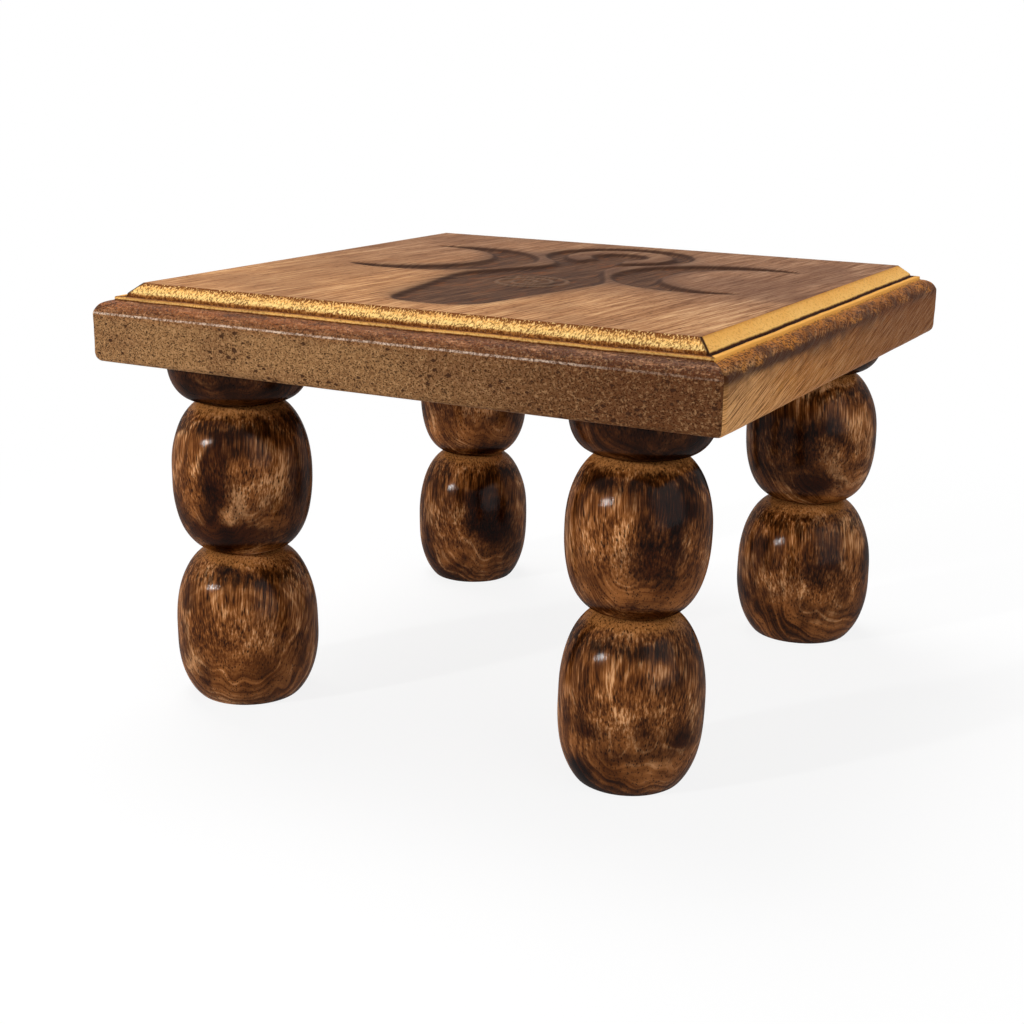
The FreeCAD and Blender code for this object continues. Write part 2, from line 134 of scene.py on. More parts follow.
# Bands: numbers that count the parts of the moulding from the field's edge to the underside
BAND_EASED = 0.1
BAND_BEVEL_MIDDLE = 0.6
BAND_BEVEL_FOOT = 1.0
BAND_QUIRK_FLOOR = 1.5
BAND_QUIRK_FLOOR_END = 1.7
BAND_QUIRK_EDGE = 2.0
BAND_FILLET_EDGE = 2.5
BAND_OVOLO_TOP = 3.05
BAND_OVOLO_FOOT = 4.0
BAND_ARRIS = 4.9
BAND_UNDERSIDE = 5.0
BAND_WANDER = 0.12

# Screen colours along the bands of the front and back edges, and of the side edges
# Dark stops from band 1.2 to 2.0 below are painted shade in the quirk's groove, and the dark stop at
# 3.065 is painted shade in the crease at the ovolo's top
END_GRAIN_BANDS = (
    (0.0, (134, 80, 36)),
    (0.15, (204, 138, 66)),
    (0.45, (255, 192, 106)),
    (0.85, (255, 212, 130)),
    (1.0, (196, 134, 66)),
    (1.2, (128, 74, 28)),
    (1.45, (70, 34, 11)),
    (1.8, (62, 29, 9)),
    (2.0, (96, 52, 18)),
    (2.35, (138, 80, 30)),
    (2.6, (228, 168, 86)),
    (2.8, (252, 200, 118)),
    (2.925, (140, 80, 28)),
    (3.065, (56, 26, 9)),
    (3.175, (122, 66, 28)),
    (3.5, (146, 83, 39)),
    (3.85, (124, 78, 46)),
    (4.0, (134, 90, 54)),
    (4.15, (142, 104, 66)),
)
# Dark stops from band 1.2 to 1.725 below are painted shade in the quirk's groove
LONG_GRAIN_BANDS = (
    (0.0, (186, 124, 54)),
    (0.25, (236, 176, 90)),
    (1.0, (252, 200, 114)),
    (1.2, (60, 28, 9)),
    (1.725, (30, 13, 4)),
    (1.875, (176, 112, 42)),
    (2.25, (236, 172, 82)),
    (3.0, (238, 172, 82)),
    (3.2, (176, 110, 44)),
    (3.6, (140, 82, 34)),
    (4.0, (142, 88, 40)),
    (4.2, (174, 111, 49)),
    (4.75, (186, 122, 59)),
)

# What the board's mesh adds to its solid: passes of blur for the carving's edges and for the
# stain around it, and the sizes of tool marks, waves and wear. Factors below 1 draw a pattern out
# along X, Y or Z, and factors above 1 squeeze it
CARVING_BLUR = 5
HALO_BLUR = 130
TOOL_MARK_SIZE = 3.0
TOOL_MARK_FACTORS = (1, 0.35, 1)
TOOL_MARK_DEPTH = 0.08
WAVE_SIZE = 30.0
WAVE_HEIGHT = 0.06
WEAR_SIZE = 14.0
WEAR_FACTORS = (1, 1, 2.5)
WEAR_SHARE = 0.0012
WEAR_HEIGHT = 0.1
WEAR_START = 0.3
WEAR_END = 1.5

# Tool marks and waves fade out over one part in this many of the way to the field's edge
EDGE_FADE = 12

# How far above the board the rays start that measure its carving
RAY_CLEARANCE = 5

# Spiral ridge on the floor of the figure's belly, which starts at a share of the carving's depth
SPIRAL_CENTRE = (1.0, -11.0)
SPIRAL_RADIUS = 11.0
SPIRAL_PITCH = 3.6
SPIRAL_HEIGHT = 0.4
SPIRAL_CREST = 0.24
SPIRAL_START = 0.75
SPIRAL_RISE = 0.2

# Turned legs: radii as shares of the widest radius, the collar's height as a share of the leg's
FOOT_SHARE = 0.702
LOWER_BEAD_SHARE = 1.0
MIDDLE_NECK_SHARE = 0.45
UPPER_BEAD_SHARE = 0.973
UPPER_NECK_SHARE = 0.502
CAP_SHARE = 0.985
COLLAR_LEVEL = 0.886

# Each bead's widest level, and the (power, fullness) of its curve below and above that level
LOWER_BEAD_CURVE = (0.47, (2.74, 0.85), (2.25, 0.55))
UPPER_BEAD_CURVE = (0.52, (2.47, 0.50), (2.19, 0.62))
CAP_CURVE = (0.5, (2.2, 0.4), (2.0, 0.5))
FOOT_CHAMFER = 0.8
UNEVEN_SIZE = 13.0
UNEVEN_DEPTH = 0.16

# How much the caps, in the board's shade, are darkened
CAP_SHADOW = 0.9

# How far a leg's pith lies from its turning axis and leans over the leg's height, where it lies
# around the axis in radians, the turns that the leg's fibres lean by in degrees, and the rise in
# which the noise along the growth rings changes once
PITH_DISTANCE = 19.0
PITH_LEAN = 9.0
PITH_TURN = 0.25
PITH_START = -0.7
FIBRE_LEAN = (18, 9, 0)
RING_RISE = 30

# Steps between the noise patterns of different seeds, and the seed of the first leg
SEED_STEPS = (17.3, 5.7, 9.1)
FIRST_LEG_SEED = 11

# Fineness of the meshes
FIELD_STEPS = 280
OVOLO_STEPS = 9
WALL_STEPS = 7
ARRIS_STEPS = 3
SOFTENING_STEPS = 3
BEAD_STEPS = 64
LEG_SEGMENTS = 128

# Studio: floor width in metres, strength of the world's light, and for each lamp its place
# and size in metres and its power in watts
FLOOR_WIDTH = 30
AMBIENT = 0.16
LAMP_AIM = Vector((0, 0, 0.05))
LAMPS = {
    "key_left": ((-0.48, -0.86, 0.36), (0.045, 0.09), 6.8),
    "fill_right": ((0.95, -0.31, 0.36), (0.9, 0.9), 5.0),
    "overhead": ((-0.35, 0.25, 1.0), (0.6, 0.6), 9.5),
}

# Camera fitted to the photograph: its place in millimetres and its angles in degrees
CAMERA_PLACE = (183.63, -361.40, 149.15)
CAMERA_AZIMUTH = 27.97
CAMERA_ELEVATION = 15.30
CAMERA_ROLL = 0.915
FOCAL_PIXELS = 1672.4
IMAGE_PIXELS = 1024
SENSOR_WIDTH = 36.0


def tone(red, green, blue):
    """Linear colour for screen values from 0 to 255."""
    def linear(value):
        share = value / 255
        return share / 12.92 if share <= 0.04045 else ((share + 0.055) / 1.055) ** 2.4
    return linear(red), linear(green), linear(blue), 1.0


def ripple(points, size, seed, depth=3):
    """Smooth noise from -1 to 1 at each point, with features about as large as size."""
    shift = Vector([seed * step for step in SEED_STEPS])
    fall_off = 1.0
    spacing = 2.0
    return np.array([noise.fractal(Vector(p) / size + shift, fall_off, spacing, depth) for p in points])


def new_mesh(name, vertices, faces, face_materials, materials, attributes):
    """Mesh object from points in millimetres, with one value per point for each attribute."""
    mesh = bpy.data.meshes.new(name)
    mesh.from_pydata((np.asarray(vertices) * MM).tolist(), [], faces)
    for material in materials:
        mesh.materials.append(material)
    mesh.polygons.foreach_set("material_index", face_materials)
    mesh.polygons.foreach_set("use_smooth", [True] * len(faces))
    for label, values in attributes.items():
        layer = mesh.attributes.new(label, "FLOAT", "POINT")
        layer.data.foreach_set("value", np.asarray(values, dtype=np.float32))
    mesh.update()
    piece = bpy.data.objects.new(name, mesh)
    bpy.context.scene.collection.objects.link(piece)
    return piece


class Surface:
    """A material and the short calls that its node tree is built with."""

    def __init__(self, name):
        self.material = bpy.data.materials.new(name)
        self.material.use_nodes = True
        self.tree = self.material.node_tree
        self.shader = self.tree.nodes["Principled BSDF"]
        self.place = self.add("ShaderNodeTexCoord").outputs["Object"]

    def add(self, kind, inputs=None, **settings):
        node = self.tree.nodes.new(kind)
        for name, value in settings.items():
            setattr(node, name, value)
        for socket, value in (inputs or {}).items():
            self.feed(node.inputs[socket], value)
        return node

    def feed(self, socket, value):
        if isinstance(value, bpy.types.NodeSocket):
            self.tree.links.new(value, socket)
        else:
            socket.default_value = value

    def spread(self, size, turn=(0, 0, 0)):
        """Coordinates in which one unit is the given size in millimetres along X, Y and Z."""
        turned = self.place
        if any(turn):
            angles = [math.radians(angle) for angle in turn]
            turned = self.add("ShaderNodeMapping", {"Vector": self.place, "Rotation": angles}).outputs[0]
        scale = [1 / (length * MM) for length in size]
        return self.add("ShaderNodeMapping", {"Vector": turned, "Scale": scale}).outputs[0]

    def axis(self, name):
        """Place along X, Y or Z, in metres."""
        return self.add("ShaderNodeSeparateXYZ", {"Vector": self.place}).outputs[name]

    def noise(self, vector, detail=3.0, roughness=0.55, distortion=0.0):
        inputs = {"Vector": vector, "Scale": 1.0, "Detail": detail, "Roughness": roughness,
                  "Distortion": distortion}
        return self.add("ShaderNodeTexNoise", inputs).outputs["Fac"]

    def cells(self, vector):
        return self.add("ShaderNodeTexVoronoi", {"Vector": vector, "Scale": 1.0}).outputs["Distance"]

    def value(self, name):
        return self.add("ShaderNodeAttribute", attribute_name=name).outputs["Fac"]

    def math(self, operation, first, second=0.0, third=0.0):
        inputs = {0: first, 1: second, 2: third}
        return self.add("ShaderNodeMath", inputs, operation=operation).outputs[0]

    def times(self, first, second):
        return self.math("MULTIPLY", first, second)

    def scaled(self, value, factor, base):
        """The value times the factor, plus the base."""
        return self.math("MULTIPLY_ADD", value, factor, base)

    def between(self, value, low, high, start=0.0, end=1.0):
        """The value carried smoothly from one range to another, and held at its ends."""
        inputs = {"Value": value, "From Min": low, "From Max": high, "To Min": start, "To Max": end}
        return self.add("ShaderNodeMapRange", inputs, interpolation_type="SMOOTHSTEP").outputs["Result"]

    def window(self, value, rise, fall, rest=0.0):
        """1 from the end of the rising range to the start of the falling one, which ends at rest."""
        return self.times(self.between(value, *rise), self.between(value, *fall, 1.0, rest))

    def ramp(self, factor, *stops):
        """Colour ramp through (position, colour) stops."""
        node = self.add("ShaderNodeValToRGB", {"Fac": factor})
        points = node.color_ramp.elements
        while len(points) < len(stops):
            points.new(1.0)
        for point, (position, colour) in zip(points, stops):
            point.position = position
            point.color = colour
        return node.outputs["Color"]

    def mix(self, factor, first, second, blend="MIX"):
        node = self.add("ShaderNodeMix", data_type="RGBA", blend_type=blend)
        self.feed(node.inputs["Factor"], factor)
        self.feed(node.inputs["A"], first)
        self.feed(node.inputs["B"], second)
        return node.outputs["Result"]

    def finish(self, colour, roughness, height, relief, gloss=0.5):
        """Join colour, roughness and a height in millimetres to the shader."""
        bump = self.add("ShaderNodeBump", {"Height": height, "Strength": 1.0, "Distance": relief * MM})
        self.feed(self.shader.inputs["Base Color"], colour)
        self.feed(self.shader.inputs["Roughness"], roughness)
        self.feed(self.shader.inputs["Specular IOR Level"], gloss)
        self.feed(self.shader.inputs["Normal"], bump.outputs["Normal"])
        return self.material


def field_material():
    """Long grain of the top, with the sunk carving darker than the flat field."""
    wood = Surface("board_field")
    lean = (0, 0, 5)
    streaks = wood.noise(wood.spread((0.6, 14, 6), lean), detail=5, roughness=0.68, distortion=0.1)
    broad = wood.noise(wood.spread((5, 60, 30), lean), detail=3)
    pores = wood.cells(wood.spread((0.5, 3.4, 2), lean))
    patches = wood.noise(wood.spread((26, 40, 40)), detail=3)
    orange = wood.noise(wood.spread((1.6, 8, 5), lean), detail=3)
    shade = wood.scaled(broad, 0.25, wood.times(streaks, 0.75))

    # streaked field with patches, duller towards the right and the back
    colour = wood.ramp(
        shade,
        (0.34, tone(96, 58, 33)),
        (0.44, tone(150, 101, 63)),
        (0.54, tone(187, 137, 93)),
        (0.66, tone(226, 178, 126)),
    )
    colour = wood.mix(wood.between(patches, 0.42, 0.62, 0.0, 0.45), colour, tone(128, 88, 60))
    to_right = wood.between(wood.axis("X"), 0.0, 0.06, 0.0, 0.5)
    to_right = wood.times(to_right, wood.between(wood.axis("Y"), -0.07, -0.01, 0.3, 1.0))
    to_back = wood.between(wood.axis("Y"), -0.04, 0.04, 0.0, 0.62)
    dusk = wood.math("MINIMUM", wood.math("ADD", to_right, to_back), 0.74)
    colour = wood.mix(dusk, colour, (0.43, 0.45, 0.66, 1.0), "MULTIPLY")

    # pores, most of them in the dark streaks
    in_streak = wood.between(streaks, 0.58, 0.46, 0.25, 1.0)
    pore_mask = wood.times(wood.between(pores, 0.06, 0.3, 0.9, 0.0), in_streak)
    colour = wood.mix(pore_mask, colour, tone(62, 34, 17))

    # stain around the carving and on its floor, painted shade on its walls, and a painted highlight on
    # the spiral ridge
    colour = wood.mix(wood.between(wood.value("halo"), 0.0, 0.55, 0.0, 0.7), colour, tone(74, 52, 42))
    carved = wood.ramp(
        shade,
        (0.38, tone(36, 19, 10)),
        (0.50, tone(70, 44, 29)),
        (0.62, tone(104, 72, 50)),
    )
    carved = wood.mix(wood.between(orange, 0.54, 0.72, 0.0, 0.5), carved, tone(118, 66, 32))
    depth = wood.value("carve")
    colour = wood.mix(wood.between(depth, 0.05, 0.5, 0.0, 0.95), colour, carved)
    # painted shade on the carving's sloping walls
    wall = wood.times(depth, wood.math("SUBTRACT", 1.0, depth))
    colour = wood.mix(wood.between(wall, 0.06, 0.25, 0.0, 0.75), colour, tone(50, 29, 18))
    # painted highlight on the crest of the spiral ridge
    colour = wood.mix(wood.times(wood.value("ridge"), 0.55), colour, tone(126, 102, 84))
    height = wood.scaled(streaks, 0.8, wood.times(pore_mask, -0.7))
    return wood.finish(colour, 0.7, height, 0.1, 0.03)


def band_ramp(wood, stops):
    """Colour across the moulding from (band, screen colour) stops; the bands wander a little."""
    wander = wood.noise(wood.spread((1.2, 1.2, 1.2)), detail=3, roughness=0.65)
    band = wood.math("ADD", wood.value("band"), wood.scaled(wander, 2 * BAND_WANDER, -BAND_WANDER))
    shares = [(place / BAND_UNDERSIDE, tone(*colour)) for place, colour in stops]
    return wood.ramp(wood.math("DIVIDE", band, BAND_UNDERSIDE), *shares)


def mitre_mask(wood, width):
    """1 on the four mitre lines of the moulding, 0 further than the width in millimetres from them."""
    reach_x = wood.math("ABSOLUTE", wood.axis("X"))
    reach_y = wood.math("ABSOLUTE", wood.axis("Y"))
    apart = wood.math("ABSOLUTE", wood.math("SUBTRACT", reach_x, reach_y))
    line = wood.between(apart, 0.2 * width * MM, width * MM, 1.0, 0.0)
    return wood.times(line, wood.between(wood.value("band"), 2.2, 2.9, 1.0, 0.0))


def end_grain_material():
    """Front and back edges: end grain with dense dark pores, pale on the bevel."""
    wood = Surface("board_end_grain")
    fine = wood.noise(wood.spread((0.42, 0.42, 0.3)), detail=4, roughness=0.6)
    grit = wood.noise(wood.spread((0.7, 0.7, 0.6)), detail=4, roughness=0.7)
    large = wood.noise(wood.spread((15, 15, 7)), detail=3)
    rubbed = wood.noise(wood.spread((5, 2, 0.9)), detail=6, roughness=0.75)
    flecks = wood.noise(wood.spread((0.38, 0.7, 0.55)), detail=3, roughness=0.6)
    clusters = wood.noise(wood.spread((3.0, 3.0, 3.0)), detail=2)
    pores = wood.cells(wood.spread((2.3, 1.6, 1.5)))
    band = wood.value("band")
    across = wood.axis("X")
    on_bevel = wood.between(band, 0.95, 1.1, 1.0, 0.0)
    in_quirk = wood.window(band, (1.0, 1.2), (1.9, 2.1))
    on_steps = wood.between(band, 2.0, 2.7, 1.0, 0.1)
    on_ovolo = wood.window(band, (3.0, 3.2), (3.8, 4.0))
    on_wall = wood.between(band, 3.95, 4.1)

    # darker towards the right end, and stained in broad patches
    colour = band_ramp(wood, END_GRAIN_BANDS)
    side_reach = wood.between(band, 2.6, 3.2, 0.16, 0.85)
    right_end = wood.times(wood.between(across, -0.025, 0.065), side_reach)
    colour = wood.mix(right_end, colour, tone(72, 36, 15))
    stain_reach = wood.between(band, 1.0, 2.9, 0.1, 0.35)
    stained = wood.times(wood.between(large, 0.44, 0.66), stain_reach)
    colour = wood.mix(stained, colour, tone(96, 60, 36))

    # ovolo rubbed dark in places and paler in others
    rub = wood.times(wood.between(rubbed, 0.5, 0.38, 0.0, 0.85), on_ovolo)
    colour = wood.mix(rub, colour, tone(70, 34, 16))
    glow = wood.times(wood.between(rubbed, 0.52, 0.68, 0.0, 0.6), on_ovolo)
    colour = wood.mix(glow, colour, tone(204, 146, 104))

    # pale and dark grit
    pale_reach = wood.between(on_bevel, 0.0, 1.0, 0.28, 0.0)
    grit_pale = wood.times(wood.between(grit, 0.5, 0.66), pale_reach)
    colour = wood.mix(grit_pale, colour, tone(206, 160, 112))
    dark_reach = wood.between(on_bevel, 0.0, 1.0, 0.5, 0.16)
    grit_dark = wood.times(wood.between(grit, 0.5, 0.36), dark_reach)
    colour = wood.mix(grit_dark, colour, tone(82, 46, 20))

    # pale flecks on the bevel and in the quirk
    lit_fleck = wood.times(wood.between(flecks, 0.48, 0.36, 0.0, 0.6), on_bevel)
    colour = wood.mix(lit_fleck, colour, tone(255, 218, 148))
    quirk_fleck = wood.times(wood.between(flecks, 0.47, 0.4, 0.0, 0.6), in_quirk)
    colour = wood.mix(quirk_fleck, colour, tone(184, 116, 52))

    # painted glint: a pale highlight along the foot of the ovolo, broken by the grit and fainter towards
    # the right end
    painted_glint = wood.window(band, (3.92, 3.97), (4.0, 4.03))
    painted_glint = wood.times(painted_glint, wood.between(grit, 0.4, 0.56, 0.15, 1.0))
    painted_glint = wood.times(painted_glint, wood.between(across, 0.065, 0.03, 0.1, 0.45))
    colour = wood.mix(painted_glint, colour, tone(248, 226, 206))

    # dark pores drawn out as clustered dashes, densest at the bevel's upper edge
    upper_edge = wood.between(band, 0.05, 0.45, 1.0, 0.0)
    fleck_reach = wood.scaled(clusters, 0.2, wood.scaled(upper_edge, 0.1, flecks))
    fleck_dark = wood.between(fleck_reach, 0.61, 0.68, 0.0, 0.9)
    from_middle = wood.math("ABSOLUTE", wood.math("SUBTRACT", band, BAND_BEVEL_MIDDLE))
    fleck_zone = wood.times(wood.between(from_middle, 0.1, 0.45, 0.8, 1.0), on_steps)
    dashes = wood.times(fleck_dark, fleck_zone)
    colour = wood.mix(dashes, colour, tone(104, 52, 16))

    # specks, most of them below the steps, pits of uneven size on the wall, and the mitres
    specks = wood.times(wood.between(fine, 0.46, 0.36), wood.between(band, 2.9, 3.1, 0.2, 0.75))
    uneven_pores = wood.scaled(fine, 0.5, pores)
    hole_size = wood.between(large, 0.35, 0.65, 0.34, 0.52)
    holes = wood.times(wood.math("LESS_THAN", uneven_pores, hole_size), on_wall)
    pits = wood.math("MAXIMUM", specks, wood.times(holes, 0.9))
    colour = wood.mix(pits, colour, tone(46, 23, 9))
    colour = wood.mix(mitre_mask(wood, 0.9), colour, tone(50, 25, 10))

    height = wood.scaled(pits, -1.0, wood.times(grit, 0.8))
    height = wood.scaled(dashes, -0.5, height)
    roughness = wood.between(on_ovolo, 0.0, 1.0, 0.66, 0.36)
    return wood.finish(colour, roughness, height, 0.24, 0.05)


def long_grain_material():
    """Side edges: slanting long grain, scorched under the ovolo and pale on the bevel."""
    wood = Surface("board_long_grain")
    slant = (-17, 0, 0)
    streaks = wood.noise(wood.spread((4, 12, 0.27), slant), detail=4, roughness=0.65)
    broad = wood.noise(wood.spread((12, 26, 3.0), slant), detail=3)
    speck = wood.noise(wood.spread((0.5, 0.9, 0.5)), detail=3, roughness=0.65)
    stain = wood.noise(wood.spread((6, 9, 6)), detail=3)
    band = wood.value("band")
    along = wood.axis("Y")
    on_bevel = wood.between(band, 0.9, 1.0, 1.0, 0.0)
    on_ovolo = wood.window(band, (3.0, 3.3), (3.9, 4.0))
    on_wall = wood.between(band, 3.3, 4.0)

    # streaked wall, bleached at the front end and tanned towards the back
    colour = band_ramp(wood, LONG_GRAIN_BANDS)
    golden = wood.times(wood.between(stain, 0.45, 0.65, 0.0, 0.35), on_wall)
    colour = wood.mix(golden, colour, tone(206, 138, 58))
    bleached = wood.times(wood.between(along, -0.03, -0.075, 0.0, 0.65), on_wall)
    colour = wood.mix(bleached, colour, tone(204, 154, 100))
    dark = wood.times(wood.between(streaks, 0.52, 0.4, 0.0, 0.75), on_wall)
    colour = wood.mix(dark, colour, tone(70, 36, 13))
    pale = wood.times(wood.between(streaks, 0.5, 0.62, 0.0, 0.65), on_wall)
    colour = wood.mix(pale, colour, tone(214, 164, 108))
    tan = wood.times(wood.between(along, -0.07, 0.05, 0.0, 0.66), on_wall)
    colour = wood.mix(tan, colour, tone(84, 38, 8))

    # scorched line under the ovolo, strongest at the front end, with smoke below it
    front_end = wood.between(along, 0.01, -0.04, 0.0, 0.75)
    scorch_reach = wood.math("ADD", wood.between(broad, 0.46, 0.6, 0.0, 0.5), front_end)
    scorched = wood.times(wood.window(band, (3.72, 3.96), (4.0, 4.18)), scorch_reach)
    colour = wood.mix(wood.math("MINIMUM", scorched, 0.85), colour, tone(48, 24, 9))
    smoke_patch = wood.scaled(streaks, 0.5, wood.times(stain, 0.5))
    smoke = wood.between(smoke_patch, 0.44, 0.54, 0.0, 0.8)
    smoke = wood.times(smoke, wood.window(band, (3.8, 4.0), (4.0, 4.55)))
    smoke = wood.times(smoke, wood.between(along, 0.055, -0.01, 0.2, 1.0))
    colour = wood.mix(smoke, colour, tone(58, 28, 9))

    # ovolo charred in places, rubbed golden in others, and freckled
    charred = wood.times(wood.between(stain, 0.5, 0.62, 0.0, 0.7), on_ovolo)
    colour = wood.mix(charred, colour, tone(58, 29, 12))
    rubbed = wood.times(wood.between(stain, 0.46, 0.36, 0.0, 0.6), on_ovolo)
    colour = wood.mix(rubbed, colour, tone(196, 126, 50))
    freckle_zone = wood.window(band, (2.8, 3.2), (3.9, 4.1), 0.12)
    freckles = wood.times(wood.between(speck, 0.54, 0.42, 0.0, 0.9), freckle_zone)
    colour = wood.mix(freckles, colour, tone(62, 30, 10))

    # warm and faintly specked bevel, and the mitres
    warm = wood.times(wood.between(stain, 0.42, 0.62, 0.0, 0.25), on_bevel)
    colour = wood.mix(warm, colour, tone(232, 160, 72))
    faint = wood.times(wood.between(speck, 0.5, 0.36, 0.0, 0.5), on_bevel)
    colour = wood.mix(faint, colour, tone(196, 128, 52))
    colour = wood.mix(mitre_mask(wood, 0.6), colour, tone(60, 30, 11))

    roughness = wood.between(streaks, 0.4, 0.6, 0.66, 0.5)
    height = wood.scaled(wood.times(streaks, on_wall), 0.9, wood.times(speck, 0.3))
    return wood.finish(colour, roughness, height, 0.2, 0.04)


def underside_material():
    """Plain sanded underside of the board."""
    wood = Surface("board_underside")
    streaks = wood.noise(wood.spread((1.3, 30, 8)), detail=5, roughness=0.62, distortion=0.2)
    pores = wood.cells(wood.spread((0.7, 6, 3)))
    colour = wood.ramp(
        streaks,
        (0.30, tone(96, 62, 38)),
        (0.55, tone(146, 100, 64)),
        (0.75, tone(170, 122, 80)),
    )
    pore_mask = wood.between(pores, 0.05, 0.25, 0.5, 0.0)
    colour = wood.mix(pore_mask, colour, tone(74, 44, 26))
    height = wood.scaled(pore_mask, -0.7, wood.times(streaks, 0.5))
    return wood.finish(colour, 0.62, height, 0.15)


def ring_lines(wood, ring, across, upwards, **settings):
    """Noise along the growth rings, as fine as given per millimetre across them and per rise."""
    height = wood.math("DIVIDE", wood.axis("Z"), RING_RISE * MM)
    place = {"X": wood.times(ring, across), "Y": wood.times(height, upwards)}
    return wood.noise(wood.add("ShaderNodeCombineXYZ", place).outputs[0], **settings)


def leg_material():
    """Turned wood: growth rings cut into swirls, fine grain lines, dark pores and smoky scorching."""
    wood = Surface("leg_turned")
    wobble = wood.noise(wood.spread((9, 9, 14)), detail=1)
    ring = wood.scaled(wobble, 6.0, wood.value("ring"))
    figure = ring_lines(wood, ring, 0.8, 1.0, detail=3, roughness=0.5)
    lines = wood.scaled(ring_lines(wood, ring, 2.2, 2.0, detail=2), 0.5, 0.245)
    grain = wood.noise(wood.spread((0.4, 0.4, 7.0), FIBRE_LEAN), detail=3, roughness=0.6)
    broad = wood.noise(wood.spread((10, 10, 13)), detail=2)
    smoke = wood.noise(wood.spread((12, 12, 9)), detail=4, roughness=0.5, distortion=0.5)
    licks = wood.noise(wood.spread((0.9, 0.9, 8), FIBRE_LEAN), detail=3, roughness=0.6)
    ragged = wood.noise(wood.spread((1.4, 1.4, 2.4)), detail=3)
    pores = wood.cells(wood.spread((0.44, 0.44, 4.0), FIBRE_LEAN))
    level = wood.value("level")
    ragged_level = wood.scaled(ragged, 0.12, wood.math("SUBTRACT", level, 0.06))

    # fibres run up the middle of a bead; towards its foot the growth rings are cut across
    side_on = wood.between(level, 0.15, 0.55)
    cut = wood.scaled(wood.math("SUBTRACT", grain, lines), side_on, lines)
    shade = wood.scaled(figure, 0.28, wood.times(cut, 0.4))
    shade = wood.scaled(broad, 0.32, shade)
    colour = wood.ramp(
        shade,
        (0.40, tone(42, 17, 3)),
        (0.47, tone(90, 48, 16)),
        (0.535, tone(138, 85, 43)),
        (0.61, tone(208, 154, 106)),
    )

    # scorching, ragged along the fibres, with painted shade added at the foot of each bead
    burn = wood.scaled(licks, 0.25, wood.value("burn"))
    burn = wood.scaled(smoke, 0.6, burn)
    # painted shade: a little darker at the foot of each bead, where its curve turns under
    burn = wood.math("ADD", burn, wood.between(ragged_level, 0.0, 0.14, 0.06, 0.0))
    colour = wood.mix(wood.between(burn, 0.32, 0.6), colour, (0.13, 0.08, 0.04, 1.0), "MULTIPLY")

    # pale necks with dark dashes under them, and caps in the board's shade
    on_neck = wood.between(ragged_level, 0.92, 0.98, 0.0, 0.8)
    golden = wood.times(on_neck, wood.between(grain, 0.36, 0.56, 0.4, 1.0))
    colour = wood.mix(golden, colour, tone(172, 113, 61))
    under_neck = wood.window(ragged_level, (0.78, 0.86), (0.88, 0.94))
    dashed = wood.times(under_neck, wood.between(licks, 0.46, 0.54, 0.1, 0.75))
    colour = wood.mix(dashed, colour, tone(26, 10, 2))
    colour = wood.mix(wood.value("shadow"), colour, (0.2, 0.15, 0.1, 1.0), "MULTIPLY")

    # pores, and a thin coat that follows the grain
    pore_zone = wood.between(licks, 0.4, 0.56, 0.3, 0.95)
    pore_mask = wood.times(wood.between(pores, 0.16, 0.4, 1.0, 0.0), pore_zone)
    colour = wood.mix(pore_mask, colour, tone(20, 7, 1))
    wood.shader.inputs["Coat Weight"].default_value = 0.12
    wood.shader.inputs["Coat Roughness"].default_value = 0.11
    coat_bump = {"Height": grain, "Strength": 1.0, "Distance": 0.045 * MM}
    wood.feed(wood.shader.inputs["Coat Normal"], wood.add("ShaderNodeBump", coat_bump).outputs["Normal"])
    height = wood.scaled(pore_mask, -1.0, wood.times(grain, 0.6))
    return wood.finish(colour, 0.6, height, 0.09, 0.0)


def metal_material(name, colour, roughness):
    """Turned metal with fine lathe lines around its axis."""
    metal = Surface(name)
    lines = metal.noise(metal.spread((6, 6, 0.25)), detail=2)
    darker = [0.7 * part for part in colour[:3]] + [1.0]
    shade = metal.mix(metal.between(lines, 0.3, 0.7), colour, darker)
    metal.shader.inputs["Metallic"].default_value = 1.0
    uneven = metal.between(lines, 0.3, 0.7, roughness, roughness + 0.15)
    return metal.finish(shade, uneven, lines, 0.05)


def soften_corners(points, reach, steps):
    """Replace each inner corner of a polyline with a short curve that starts at most reach away."""
    most_of_side = 0.45
    soft = [np.array(points[0], float)]
    for before, corner, after in zip(points, points[1:], points[2:]):
        before, corner, after = (np.array(p, float) for p in (before, corner, after))
        ways = [(end - corner) / max(np.linalg.norm(end - corner), 1e-9) for end in (before, after)]
        lengths = [min(reach, most_of_side * np.linalg.norm(end - corner)) for end in (before, after)]
        start = corner + ways[0] * lengths[0]
        finish = corner + ways[1] * lengths[1]
        for step in range(steps + 1):
            t = step / steps
            soft.append((1 - t) ** 2 * start + 2 * t * (1 - t) * corner + t ** 2 * finish)
    soft.append(np.array(points[-1], float))
    return soft


def shares(steps):
    """The shares 1/steps, 2/steps and so on up to 1."""
    return [step / steps for step in range(1, steps + 1)]


